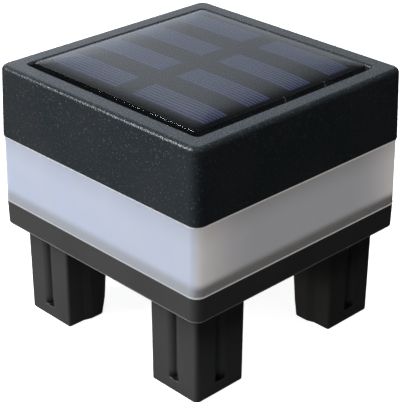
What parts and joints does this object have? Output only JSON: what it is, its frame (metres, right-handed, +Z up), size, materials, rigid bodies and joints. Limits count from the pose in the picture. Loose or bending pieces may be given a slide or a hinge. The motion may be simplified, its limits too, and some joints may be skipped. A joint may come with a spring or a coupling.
{
  "type": "solar deck post cap light",
  "caption": "Square solar cap light for a hollow deck or fence post: black cap with a pillowed solar panel, milky light band, and a base with fluted legs that slip into the post.",
  "frame": {"origin": "on the lamp's vertical axis, level with the ends of the four legs it stands on", "axes": "+Z up through the panel; +X and +Y square to the sides, with the switch knob sliding along X"},
  "size_m": [0.067, 0.067, 0.0662],
  "materials": {
    "cap_plastic": "fine spark texture, satin",
    "base_plastic": "fine texture, satin",
    "diffuser_plastic": "milky translucent",
    "clear_resin": "clear, glossy, pillowed",
    "silicon": "dark blue with fine grid lines",
    "solder": "tinned",
    "panel_laminate": "matte black laminate",
    "foam_tape": "foam",
    "seal_foam": "foam",
    "white_plastic": "satin white",
    "circuit_board": "solder mask",
    "led_lens": "yellow phosphor in a white frame",
    "component_black": "moulded",
    "battery_sleeve": "green shrink sleeve",
    "nickel_steel": "nickel plated",
    "screw_steel": "zinc plated",
    "phenolic": "moulded phenolic",
    "knob_plastic": "satin",
    "wire_red": "insulated",
    "wire_black": "insulated",
    "wire_yellow": "insulated"
  },
  "bodies": {
    "lamp": {"cap_housing": "cap_plastic", "panel_tape": "foam_tape", "panel_board": "panel_laminate", "solar_cells": "silicon", "solder_beads": "solder", "panel_resin": "clear_resin", "diffuser": "diffuser_plastic", "diffuser_seal": "seal_foam", "base": "base_plastic", "reflector": "white_plastic", "led_board": "circuit_board", "leds": "led_lens", "driver_chip": "component_black", "inductor": "component_black", "diode": "component_black", "battery_cell": "battery_sleeve", "battery_spring": "nickel_steel", "contact_plates": "nickel_steel", "housing_screws": "screw_steel", "board_screws": "screw_steel", "switch_frame": "nickel_steel", "switch_body": "phenolic", "switch_screws": "screw_steel", "panel_wires": "wire_red", "battery_wires": "wire_black", "switch_wires": "wire_yellow"},
    "knob": {"switch_knob": "knob_plastic"}
  },
  "joints": [
    {"name": "switch_slide", "type": "slide", "parent": "lamp", "child": "knob", "axis": [1, 0, 0], "range_m": [0, 0.002]}
  ]
}
